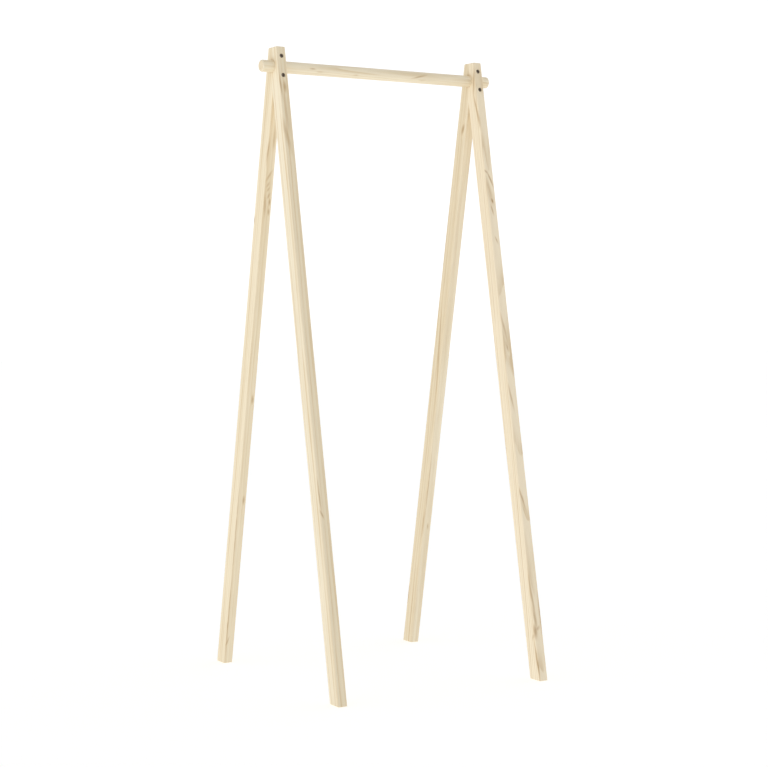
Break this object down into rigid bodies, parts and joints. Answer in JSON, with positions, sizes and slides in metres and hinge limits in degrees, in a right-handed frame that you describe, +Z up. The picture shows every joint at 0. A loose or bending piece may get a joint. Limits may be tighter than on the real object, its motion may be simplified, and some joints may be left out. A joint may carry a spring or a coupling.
{
  "type": "clothes rack",
  "caption": "Free-standing pine clothes rack: flat legs lean together into A-frames and are bolted at the top round a round hanging rail that stands out past both frames.",
  "frame": {"origin": "on the floor, midway between the four feet and under the middle of the rail", "axes": "+Z up, +X along the rail to the right as seen from the front, +Y from the front, where the bolt heads are, to the rear"},
  "size_m": [0.75, 0.7392, 1.77],
  "materials": {
    "leg_pine": "planed and sanded, clear matt lacquer",
    "rail_pine": "turned and sanded, clear matt lacquer",
    "black_steel": "black oxide, satin",
    "plated_steel": "zinc plated"
  },
  "bodies": {
    "root": {"left_front_leg": "leg_pine", "left_rear_leg": "leg_pine", "right_front_leg": "leg_pine", "right_rear_leg": "leg_pine", "hanging_rail": "rail_pine", "left_upper_bolt": "black_steel", "left_lower_bolt": "black_steel", "right_upper_bolt": "black_steel", "right_lower_bolt": "black_steel", "left_upper_insert": "plated_steel", "left_lower_insert": "plated_steel", "right_upper_insert": "plated_steel", "right_lower_insert": "plated_steel"}
  },
  "joints": []
}
